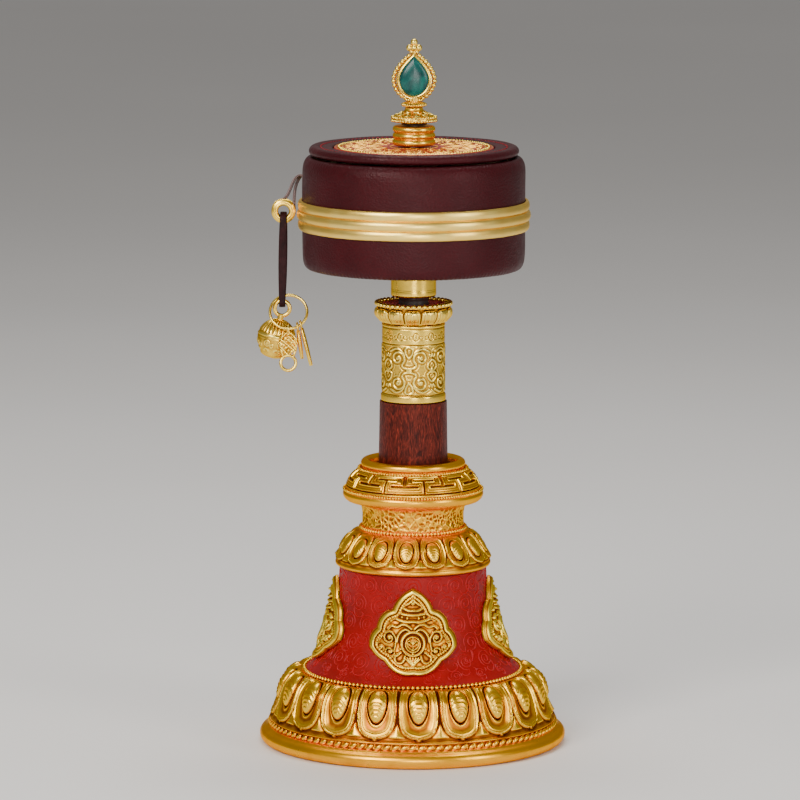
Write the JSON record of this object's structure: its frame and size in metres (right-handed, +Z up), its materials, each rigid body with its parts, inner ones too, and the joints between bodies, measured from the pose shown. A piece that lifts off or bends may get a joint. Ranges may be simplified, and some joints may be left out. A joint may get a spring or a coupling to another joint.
{
  "type": "hand prayer wheel with stand",
  "caption": "Leather-clad drum that spins on a wooden handle, with a jewelled finial and a hanging bell, standing in a gilded lotus stand.",
  "frame": {"origin": "centre of the stand's underside, on the floor", "axes": "+Z up along the spindle, -Y towards the front, -X towards the side where the bell hangs"},
  "size_m": [0.1238, 0.123, 0.2831],
  "materials": {
    "gilt": "antique gilt casting with red-brown recesses",
    "brass": "satin gilt brass",
    "steel": "ground",
    "crimson": "embossed crimson lacquer",
    "rosewood": "waxed dark rosewood",
    "leather": "pebbled burgundy leather",
    "board": "raw board",
    "paper": "wound printed paper",
    "felt": "black felt",
    "red_felt": "red felt",
    "nylon": "dark moulded",
    "filigree": "gilt filigree over red lacquer",
    "turquoise": "polished turquoise stone",
    "braid": "black and white braid"
  },
  "bodies": {
    "stand": {"stand_plinth": "gilt", "waist_shell": "crimson", "lotus_casting": "gilt", "neck_cup": "gilt", "socket_liner": "felt", "medallion_front": "gilt", "medallion_right": "gilt", "medallion_back": "gilt", "medallion_left": "gilt", "tie_rod": "steel", "rod_washer": "steel", "rod_nut": "steel", "bottom_plate": "nylon", "felt_pad": "felt"},
    "handle": {"grip": "rosewood", "pommel_cap": "brass", "grip_sleeve": "brass", "lotus_collar": "brass", "collar_pad": "red_felt", "thrust_bush": "nylon", "spindle": "steel", "lower_bearing_inner": "steel", "upper_bearing_inner": "steel"},
    "drum": {"drum_ferrule": "brass", "core_tube": "board", "mantra_roll": "paper", "drum_cup": "board", "leather_wrap": "leather", "drum_band": "brass", "tether_stud": "brass", "lower_bearing_outer": "steel", "upper_bearing_outer": "steel"},
    "lower_ball_set": {"lower_balls": "steel"},
    "upper_ball_set": {"upper_balls": "steel"},
    "finial_seat": {"finial_washer": "nylon"},
    "finial": {"finial_dome": "brass", "finial_collar": "brass", "jewel_setting": "brass", "stone_front": "turquoise", "stone_back": "turquoise", "crown_beads": "brass"},
    "lid": {"lid_board": "board", "lid_leather": "leather", "lid_disc": "filigree"},
    "lid_nut_ring": {"lid_nut": "brass"},
    "tether": {"tether_cord": "braid", "grommet": "brass"},
    "strap": {"thong": "leather"},
    "bell": {"bell_shell": "brass"},
    "pellet": {"bell_pellet": "steel"},
    "ring": {"jump_ring": "brass"},
    "knot": {"knot_charm": "brass"},
    "leaf_one": {"leaf_a": "brass"},
    "leaf_two": {"leaf_b": "brass"}
  },
  "joints": [
    {"name": "wheel_lift", "type": "slide", "parent": "stand", "child": "handle", "axis": [0, 0, 1], "range_m": [0, 0.045]},
    {"name": "drum_spin", "type": "hinge", "parent": "handle", "child": "drum", "pos_m": [0, 0, 0.1853], "axis": [0, 0, 1], "continuous": true},
    {"name": "lower_balls_roll", "type": "hinge", "parent": "handle", "child": "lower_ball_set", "pos_m": [0, 0, 0.1853], "axis": [0, 0, 1], "continuous": true},
    {"name": "upper_balls_roll", "type": "hinge", "parent": "handle", "child": "upper_ball_set", "pos_m": [0, 0, 0.2285], "axis": [0, 0, 1], "continuous": true},
    {"name": "finial_lift", "type": "slide", "parent": "handle", "child": "finial_seat", "axis": [0, 0, 1], "range_m": [0, 0.03]},
    {"name": "finial_turn", "type": "hinge", "parent": "finial_seat", "child": "finial", "pos_m": [0, 0, 0.25], "axis": [0, 0, 1], "range_deg": [0, 1530]},
    {"name": "lid_lift", "type": "slide", "parent": "drum", "child": "lid", "axis": [0, 0, 1], "range_m": [0, 0.018]},
    {"name": "nut_turn", "type": "hinge", "parent": "lid", "child": "lid_nut_ring", "pos_m": [0, 0, 0.2445], "axis": [0, 0, 1], "range_deg": [0, 720]},
    {"name": "tether_swing", "type": "hinge", "parent": "drum", "child": "tether", "pos_m": [-0.04412, 0.01606, 0.2266], "axis": [0.342, 0.9397, 0], "range_deg": [0, 70]},
    {"name": "thong_swing", "type": "hinge", "parent": "tether", "child": "strap", "pos_m": [-0.0518, 0, 0.2142], "axis": [0, 1, 0], "range_deg": [-8, 80]},
    {"name": "bell_swing", "type": "hinge", "parent": "strap", "child": "bell", "pos_m": [-0.0524, 0, 0.1751], "axis": [0, 1, 0], "range_deg": [0, 40]},
    {"name": "pellet_rattle", "type": "slide", "parent": "bell", "child": "pellet", "axis": [0.1908, 0, 0.9816], "range_m": [0, 0.005]},
    {"name": "ring_swing", "type": "hinge", "parent": "strap", "child": "ring", "pos_m": [-0.05233, -0.00002, 0.18], "axis": [-1, 0, 0], "range_deg": [0, 30]},
    {"name": "knot_swing", "type": "hinge", "parent": "ring", "child": "knot", "pos_m": [-0.0498, -0.00762, 0.16782], "axis": [-1, 0, 0], "range_deg": [0, 45]},
    {"name": "leaf_a_swing", "type": "hinge", "parent": "ring", "child": "leaf_one", "pos_m": [-0.04485, -0.00661, 0.16944], "axis": [-0.7431, -0.3546, -0.5675], "range_deg": [0, 25]},
    {"name": "leaf_b_swing", "type": "hinge", "parent": "ring", "child": "leaf_two", "pos_m": [-0.04616, -0.00711, 0.16864], "axis": [-0.8704, -0.2609, -0.4176], "range_deg": [0, 25]}
  ],
  "couplings": [
    {"joint": "lower_balls_roll", "follows": "drum_spin", "ratio": 0.596},
    {"joint": "upper_balls_roll", "follows": "drum_spin", "ratio": 0.596},
    {"joint": "lid_lift", "follows": "finial_lift", "ratio": 0.6}
  ]
}
